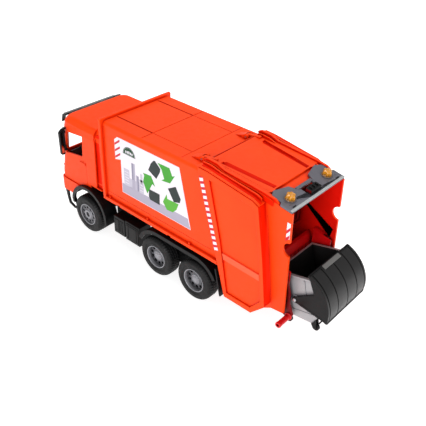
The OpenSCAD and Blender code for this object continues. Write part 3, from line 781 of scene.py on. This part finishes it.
def roof_at(x):
    """Height of the tailgate's sloping roof."""
    return 308.8 + (x + 83) * (308.8 - 299.5) / 133


def on_roof(bm, low, low_dz, high, high_dz, mat=0):
    """A solid between two outlines in x and y, each held at its own height over the tailgate's sloping roof."""
    bottom = [bm.verts.new((px, py, roof_at(px) + low_dz)) for px, py in low]
    top = [bm.verts.new((px, py, roof_at(px) + high_dz)) for px, py in high]
    faces = [bm.faces.new(bottom), bm.faces.new(top[::-1])]
    for i in range(len(low)):
        j = (i + 1) % len(low)
        faces.append(bm.faces.new((bottom[i], bottom[j], top[j], top[i])))
    for f in faces:
        f.material_index = mat


RAIL_TOP = [(-79.5, 314.6), (-92, 315.4), (-108, 313.6), (-126, 307.8), (-214, 301.6), (-234, 298.4)]
DECK_TOP = [(-80, 312.4), (-100, 312.4), (-124, 307.0), (-204, 298.6), (-214, 294.6)]


def rail(bm, top, y0, y1, drop, base):
    """A ridge that follows a line in x and z, lowered by drop and as deep as base."""
    top = [(px, pz - drop) for px, pz in top]
    prism(bm, top + [(px, pz - base) for px, pz in top[::-1]], y0, y1)


def roof_cuts(bm):
    side = bmesh.new()
    on_roof(side, [(-105, 57), (-107, 55), (-213, 47), (-213, 53), (-105, 62.5)], -4.2,
            [(-101, 57.5), (-105, 51), (-213, 43), (-213, 54), (-101, 64)], 1.2)
    mirror_into(bm, side)
    prism(bm, [(-80.4, 312), (-80.0, 306.4), (-78.2, 306.4), (-77.8, 312)], -58.5, 58.5)


def roof_extra(bm):
    side = bmesh.new()
    filled = [(-100.4, 66.6), (-217.6, 66.6), (-217.6, 54.2), (-101, 64.2)]
    on_roof(side, filled, -5.0, filled, 0.05)
    rail(side, RAIL_TOP, 69.8, 72.6, 2.4, 8.0)
    rail(side, RAIL_TOP, 80.0, 83.6, 2.4, 10.0)
    rail(side, DECK_TOP, 86.0, 89.2, 0.0, 8.0)
    soften(side, 0.8)
    # A strip along the deck top, in the dark red painted shade.
    prism(side, [(-84, 309.4), (-101, 308.3), (-204, 294.3), (-217.8, 288.0), (-217.4, 286.0), (-204, 292), (-84, 306)],
          89.4, 95.8, 1)
    mirror_into(bm, side)


LEVER_FOOT = 285


def paint(o, mat, chosen):
    """Gives a second material to the faces chosen by their middle, in millimetres, and their normal."""
    for f in o.data.polygons:
        if chosen(f.center / MM, f.normal):
            f.material_index = mat


# Picks the hopper's inner wall faces for the deep red painted shade.
def inner_wall(c, n):
    return abs(c.y) < 77 and n.y * c.y < -0.5 * abs(c.y)


def box_flank(c, n):
    """The front flank of the side recess and the rear flank of the proud box, down to its bend, which take the dark red
    painted shade.
    """
    rearward = n.x < -0.5 and abs(n.y) < 0.6
    return rearward and (97 < abs(c.y) < 101.6 and c.x > -200 and c.z < 292 or 82 < abs(c.y) < 101.5)


def below_roof(c, n):
    """All of the packer but its lever, which turns to the dark red painted shade."""
    return c.z < LEVER_FOOT


def roof_recess(c, n):
    """The channels, the seam and the flanks of the rails, which take the dark red painted shade."""
    channel = -215 < c.x < -100 and 42 < abs(c.y) < 64.5 and c.z < roof_at(c.x) - 0.25
    seam = -80.6 < c.x < -77.6 and abs(c.y) < 58 and c.z < roof_at(c.x) - 0.25
    flank = 66 < abs(c.y) < 90 and abs(n.y) > 0.8
    return c.z > roof_at(c.x) - 6 and (channel or seam or flank)


walls = from_cad("tailgate_walls", ["orange", "orange_inner_shaded", "orange_shaded"], 0.8, wall_cuts)
# painted shade: the inner walls turn deep red
paint(walls, 1, inner_wall)
# painted shade: the box flanks turn dark red
paint(walls, 2, box_flank)
panels = from_cad("tailgate_panels", ["orange", "orange_shaded", "orange_highlit"], 0.8, panel_cuts,
                  panel_extra)
# painted shade: the panel flanks turn dark red
paint(panels, 1, box_flank)
roof = from_cad("tailgate_roof", ["orange", "orange_shaded"], 0.9, roof_cuts, roof_extra)
# painted shade: the channels, seam and rail flanks turn dark red
paint(roof, 1, roof_recess)
packer = from_cad("packer_plate", ["black", "red_dark"], 0.8, None, packer_detail)
# painted shade: the packer below its lever turns dark red
paint(packer, 1, below_roof)


def tub_extra(bm):
    for y in range(-66, 67, 12):
        prism(bm, [(-232.6, 72), (-228.9, 131), (-230.6, 132), (-234.4, 74)], y - 1, y + 1)
        prism(bm, [(-229.4, 72), (-225.6, 132), (-223.8, 131), (-227.0, 74)], y - 1, y + 1)
    block(bm, (-222.4, -75.6, 144.8), (-216.6, 75.6, 147.6))


from_cad("hopper_tub", "red", 0.6, None, tub_extra)

# the lamp plate's own frame: x forward along the plate, z out of it, and the place of each beacon in it
PLATE_FRAME = Matrix.Translation(Vector((-272, 0, 287))) @ Matrix.Rotation(math.radians(-9.3), 4, "Y")
BEACON_X, BEACON_Y = 24, 56
BEACON_FOOT = 6.7
BEACON = [(9.8, 4.5, 0), (9.8, 5.6, 0), (9.2, 6.3, 0), (8.4, 6.5, 0), (7.9, 6.9, 1), (7.9, 8.0, 1), (7.7, 12.0, 1),
          (7.2, 14.0, 1), (6.2, 15.2, 1), (4.8, 15.6, 0), (3.8, 14.8, 0), (3.0, 14.6, 0), (1.0, 14.8, 0)]


def on_plate(bm):
    """Moves a mesh from the lamp plate's own frame to its place on the roof."""
    bmesh.ops.transform(bm, matrix=PLATE_FRAME, verts=bm.verts[:])


def upright(bm, x, y, profile, count, lobes=0, depth=0.0):
    """A shape turned about a line along z at x and y; profile is of (radius, height, whether it has lobes)."""
    rings = []
    for i in range(count):
        a = 2 * math.pi * i / count
        k = 1 + depth * math.cos(lobes * a)
        ring = [(r * (k if lobed else 1), h) for r, h, lobed in profile]
        rings.append([bm.verts.new((x + r * math.cos(a), y + r * math.sin(a), h)) for r, h in ring])
    n = len(profile)
    for i in range(count):
        a, b = rings[i], rings[(i + 1) % count]
        for j in range(n - 1):
            bm.faces.new((a[j], a[j + 1], b[j + 1], b[j]))
    bm.faces.new([ring[0] for ring in rings])
    bm.faces.new([ring[-1] for ring in rings][::-1])


def light_plate():
    bm = cad_mesh("light_plate")
    soften(bm, 0.6)
    part = bmesh.new()
    # the plate's edge strip, in the lighter grey painted highlight
    block(part, (0.2, -80.6, 3.2), (4.4, 80.6, 4.9), 1)
    block(part, (30.6, -23, 0.6), (37.4, 23, 4.2))
    for s in (-1, 1):
        block(part, (5.5, s * 66 - 4.5, 4.3), (8.2, s * 66 + 4.5, 4.75), 2)
    for s in (-1, 1):
        upright(part, 12, s * 40, [(1.6, 4.2, 0), (1.6, 5.0, 0), (1.2, 5.3, 0)], 16)
        upright(part, 14, s * 70, [(1.3, 4.2, 0), (1.3, 4.9, 0), (0.9, 5.2, 0)], 16)
        upright(part, BEACON_X, s * BEACON_Y, [(11.4, 4.2, 0), (11.4, 5.0, 0), (11.0, 5.3, 0)], 48)
    on_plate(part)
    add_to(bm, part)
    make("light_plate_finished", bm, ["plate", "plate_edge_highlit", "black"], nodes["light_plate"]["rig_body"],
         ["light_plate"])


def beacons():
    bm = bmesh.new()
    for s in (-1, 1):
        upright(bm, BEACON_X, s * BEACON_Y, BEACON, 60, 6, 0.13)
    # faces below the foot height take the darker amber painted shade
    for f in bm.faces:
        if f.calc_center_median().z < BEACON_FOOT:
            f.material_index = 1
    on_plate(bm)
    make("beacons_lobed", bm, ["amber", "amber_foot_shaded"], nodes["beacons"]["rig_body"], ["beacons"], 50)


light_plate()
beacons()


# ---------------------------------------------------------------- lift and container

from_cad("lift_covers", "red", 0.25)
# the lift arms and cross bar, in the dark red painted shade
from_cad("lift_arms", "red_dark", 0.8)
from_cad("lift_cross_bar", "red_dark", 0.5)


HANDLE_X, HANDLE_Z = -287.0, 62.0
HANDLE = [(0, 71), (7.0, 71), (7.4, 71.4), (7.4, 73.6), (7.0, 74), (5.8, 74.3), (5.5, 75), (5.5, 82), (5.1, 82.4),
          (5.1, 83.6), (5.5, 84), (5.5, 100.2), (6.0, 100.8), (6.0, 104), (5.5, 105), (3.2, 105), (3.0, 104), (3.0, 98),
          (0, 98)]


def turned_handles():
    bm = bmesh.new()
    revolve(bm, HANDLE, HANDLE_X, HANDLE_Z, 36)
    both_sides(bm)
    make("lift_handles_turned", bm, ["red"], nodes["lift_handles"]["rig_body"], ["lift_handles"], 40)


turned_handles()


def bin_extra(bm):
    side = bmesh.new()
    for u in (-22, 24):
        pts = [bin_point(u - 1, 42), bin_point(u + 1, 42), bin_point(u * 0.9 + 1, -24), bin_point(u * 0.9 - 1, -24)]
        prism(side, pts, 56.6, 58.0)
    pts = [bin_point(a, b) for a, b in ((-33, -27), (33, -25), (33, -27), (-33, -29))]
    prism(side, pts, 56.6, 57.8)
    mirror_into(bm, side)
    for w in (-20, -4, 12):
        pts = [bin_point(a, b) for a, b in ((-38.4, w), (-38.4, w + 2), (-39.6, w + 2), (-39.6, w))]
        prism(bm, pts, -50, 50)


def inside_bin(c, n):
    return abs(c.y) < BIN_INNER_Y and n.dot(c - Vector((BIN_X, 0, BIN_Z))) < -1.0


tub = from_cad("bin_tub", ["bin", "lid"], 0.6, None, bin_extra)
paint(tub, 1, inside_bin)
bm = bmesh.new()
revolve(bm, [(0, 64.8), (3.3, 64.8), (3.3, 65.6), (2.6, 66.3), (0, 66.5)], BIN_X, BIN_Z, 32)
both_sides(bm)
make("bin_pin_heads", bm, ["steel"], nodes["bin_pins"]["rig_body"])


def lid_point(r, a):
    """A point on the container's round lid, at a radius and an angle in degrees up from the rear."""
    return (BIN_X - r * math.cos(math.radians(a)), BIN_Z + r * math.sin(math.radians(a)))


def build_lid():
    low, high = -12.0, 73.0
    bm = bmesh.new()
    outer = [(LID_R - 0.7, -64.3), (LID_R, -63.6)]
    for y in (-58.5, -32.0, 0.0, 32.0, 58.5):
        outer += [(LID_R, y - 1.2), (LID_R - 1.6, y - 0.9), (LID_R - 1.6, y + 0.9), (LID_R, y + 1.2)]
    outer += [(LID_R, 63.6), (LID_R - 0.7, 64.3)]
    inner = [(LID_R - 2.8, 64.3), (LID_R - 2.8, -64.3)]
    revolve(bm, outer + inner, BIN_X, BIN_Z, 68, 0, 180 - high, high - low)
    for a in (low + 0.9, high - 0.9):
        pts = [lid_point(LID_R + 1.0, a - 1.9), lid_point(LID_R + 1.0, a + 1.4), lid_point(LID_R - 4.4, a + 1.4),
               lid_point(LID_R - 4.4, a - 1.9)]
        prism(bm, pts, -62.5, 62.5, 1)
    side = bmesh.new()
    arc = [lid_point(LID_R - 1, low + 0.5 + (high - low - 1) * i / 28) for i in range(29)]
    prism(side, arc + [lid_point(50, 41), lid_point(5, 120), lid_point(5, 200), lid_point(5, 270)], 61.2, 64.3)
    bar(side, BIN_X, BIN_Z, 5.5, 61.2, 64.5, 32)
    rim = [lid_point(LID_R - 0.3, low + (high - low) * i / 28) for i in range(29)]
    back = [lid_point(LID_R - 4.5, high - (high - low) * i / 28) for i in range(29)]
    prism(side, rim + back, 64.0, 64.7)
    groove(side, *lid_point(14, -9.5), *lid_point(68, -9.5), 1.8, 64.0, 64.65)
    soften(side, 0.35)
    for f in side.faces:
        f.material_index = 1
    mirror_into(bm, side)
    make("bin_lid_ribbed", bm, ["lid", "black"], nodes["bin_lid"]["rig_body"], ["bin_lid"], 34)


build_lid()
from_cad("lid_grip", "grip", 0.6)


# ---------------------------------------------------------------- labels

FILM_THICK, INK_FOOT, INK_STEP = 0.4, 0.3, 0.06


def film(bm, outline, y, layer, mat):
    """A printed area: layer 0 is the film itself, and higher layers lie on it."""
    prism(bm, outline, y if layer == 0 else y + INK_FOOT, y + FILM_THICK + INK_STEP * layer, mat)


def box_outline(x0, x1, z0, z1):
    return [(x0, z0), (x1, z0), (x1, z1), (x0, z1)]


FILM_MATS = list(FILMS)
WHITE, RED, LILAC, PALE, SLATE, DARK, GREEN, LEAF, PINE = range(9)


def side_labels():
    y = WALL_Y
    bm = bmesh.new()
    film(bm, [(140, 280), (-27, 281), (-58.5, 154), (140, 153.5), (140, 231), (157, 226), (157, 272), (148, 279.6)],
         y, 0, WHITE)
    for c in (274, 259, 244):
        film(bm, [(140.5, c + 2.6), (156.6, c - 9.8), (156.6, c - 15), (140.5, c - 2.6)], y, 1, RED)
    # skyline
    film(bm, [(139, 154.3), (139, 177), (-50.8, 177), (-57.4, 154.8)], y, 1, LILAC)
    for x0, x1, z0, z1, layer, mat in (
            (73, 132, 176, 198, 1, PALE), (115, 132, 176, 216, 2, PALE), (97.5, 107.5, 176, 237, 2, LILAC),
            (87, 95, 176, 213, 2, LILAC), (87, 91, 177, 212, 3, SLATE), (73, 86, 176, 208, 2, PALE),
            (76, 82, 200, 222, 2, PALE), (103, 107.5, 198, 236, 3, SLATE)):
        film(bm, box_outline(x0, x1, z0, z1), y, layer, mat)
    for k in range(5):
        film(bm, box_outline(117, 130, 182 + 6.5 * k, 183.2 + 6.5 * k), y, 3, WHITE)
    for k in range(4):
        film(bm, box_outline(74.5, 84.5, 182 + 6.5 * k, 183 + 6.5 * k), y, 3, WHITE)
    # plain emblem
    for wide, high, foot, layer, mat in (
            (18.5, 19.0, 250.0, 1, PINE), (16.6, 16.6, 251.2, 2, WHITE), (16.0, 15.9, 251.6, 3, PINE)):
        film(bm, [(113.5 + wide * math.cos(math.radians(a)), foot + high * math.sin(math.radians(a)))
                  for a in range(0, 181, 9)], y, layer, mat)
    for k in range(5):
        film(bm, box_outline(102.6 + 4.6 * k, 105.6 + 4.6 * k, 254.0, 260.4 - 0.8 * abs(k - 2)), y, 4, WHITE)
    # turning arrows
    for outline, mat in (
            ([(38, 269), (23.5, 257), (24, 250), (35, 230), (57.5, 241), (50, 258), (42.5, 267.5)], DARK),
            ([(31, 268), (-1.5, 269), (-9, 254), (-16, 257.5), (-3, 236), (21, 232.5), (13, 239), (20, 257)], GREEN),
            ([(-18, 235), (-31.7, 212.5), (-29, 203), (-13, 198), (3, 222)], DARK),
            ([(6.7, 207), (17.5, 185), (6.7, 171), (-10, 172.5), (-20, 183), (-26, 199), (-12.5, 198), (5, 197)], LEAF),
            ([(26.7, 197.5), (26.7, 172.5), (55, 173), (58, 180), (57, 197)], DARK),
            ([(73, 228), (50, 230), (39, 210), (47, 213), (58, 192), (62.5, 184), (74, 207), (70, 223)], GREEN)):
        film(bm, outline, y, 4, mat)
    both_sides(bm)
    make("side_labels_printed", bm, FILM_MATS, nodes["side_decals"]["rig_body"], ["side_decals"])


def edge_labels():
    bm = bmesh.new()
    y = PANEL_Y
    film(bm, [(-82.6, 289.4), (-91.4, 289.4), (-133.8, 146.4), (-125.2, 146.4)], y, 0, RED)
    for k in range(13):
        cx, cz = -87.5 - 41.5 * k / 12, 284 - 134 * k / 12
        film(bm, [(cx + 4.3, cz + 1.6), (cx - 4.2, cz + 4.6), (cx - 5.9, cz - 1.4), (cx + 2.6, cz - 4.4)], y, 1, WHITE)
    y = TAIL_WALL_Y
    film(bm, [(-266, 268), (-273, 268), (-273.8, 236), (-266.8, 236)], y, 0, WHITE)
    for z in (259, 243.5):
        film(bm, [(-266.3, z - 7.0), (-273.2, z + 2.0), (-273.3, z - 5.0), (-266.6, z - 14.0)], y, 1, RED)
    both_sides(bm)
    make("edge_labels_printed", bm, FILM_MATS, nodes["edge_decals"]["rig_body"], ["edge_decals"])


side_labels()
edge_labels()


# ---------------------------------------------------------------- CAD nodes kept in their own shape

CARRIED = {
    "hinge_pins": "steel", "front_axle": "steel", "middle_axle": "steel", "rear_axle": "steel", "packer_shaft": "steel",
    "lift_pivots": "steel", "bin_pins": "steel", "chassis_screws": "steel", "bin_trunnions": "black",
}
for node, mat in CARRIED.items():
    mesh = nodes[node].data
    mesh.materials.clear()
    mesh.materials.append(M[mat])


# ---------------------------------------------------------------- floor, light and camera

FLOOR_HALF = 9
floor_finish = finish_material("studio_floor", (0.55, 0.55, 0.55, 1), 0.9, grain=0.0, drift=0.002, spread=0.02,
                               spec=0.1)
floor_shader = floor_finish.node_tree.nodes["Principled BSDF"]
floor_shader.inputs["Emission Color"].default_value = (1, 1, 1, 1)
floor_shader.inputs["Emission Strength"].default_value = 0.8
floor_mesh = bpy.data.meshes.new("floor")
floor_mesh.from_pydata([(x * FLOOR_HALF, y * FLOOR_HALF, 0) for x, y in ((-1, -1), (1, -1), (1, 1), (-1, 1))], [],
                       [(0, 1, 2, 3)])
floor_mesh.materials.append(floor_finish)
o = bpy.data.objects.new("floor", floor_mesh)
scene.collection.objects.link(o)

world = bpy.data.worlds.new("studio")
world.use_nodes = True
world.node_tree.nodes["Background"].inputs["Color"].default_value = (1, 1, 1, 1)
world.node_tree.nodes["Background"].inputs["Strength"].default_value = 0.46
scene.world = world


def area_light(name, where, target, size, energy, colour=(1, 1, 1)):
    data = bpy.data.lights.new(name, "AREA")
    data.shape, data.size, data.energy, data.color = "DISK", size, energy, colour
    o = bpy.data.objects.new(name, data)
    scene.collection.objects.link(o)
    o.location = where
    o.rotation_euler = (Vector(target) - Vector(where)).to_track_quat("-Z", "Y").to_euler()
    return o


area_light("key", (-0.9, 2.4, 0.75), (0, 0, 0.15), 1.1, 32)
area_light("top", (0.3, -0.3, 2.6), (0, 0, 0.2), 1.0, 17)
area_light("rear", (-2.2, 0.5, 0.9), (-0.2, 0, 0.15), 1.0, 12)
area_light("far", (1.3, -1.9, 2.6), (1.5, -2.0, 0), 2.4, 70).visible_glossy = False

LENS = 50.823
CAMERA_AT = (-0.7053, 0.7855, 0.8399)
AZIMUTH, ELEVATION, ROLL = (math.radians(a) for a in (49.41, 34.26, 2.3))
camera = bpy.data.cameras.new("camera")
camera.lens = LENS
camera.sensor_width = 36.0
camera.clip_start, camera.clip_end = 0.01, 100
camera_object = bpy.data.objects.new("camera", camera)
scene.collection.objects.link(camera_object)
back = Vector((-math.cos(AZIMUTH) * math.cos(ELEVATION), math.sin(AZIMUTH) * math.cos(ELEVATION), math.sin(ELEVATION)))
right = (-back).cross(Vector((0, 0, 1))).normalized()
up = right.cross(-back)
turned_right = right * math.cos(ROLL) + up * math.sin(ROLL)
turned_up = up * math.cos(ROLL) - right * math.sin(ROLL)
placed = Matrix((turned_right, turned_up, back)).transposed().to_4x4()
placed.translation = Vector(CAMERA_AT)
camera_object.matrix_world = placed
scene.camera = camera_object
scene.view_settings.view_transform = "Standard"
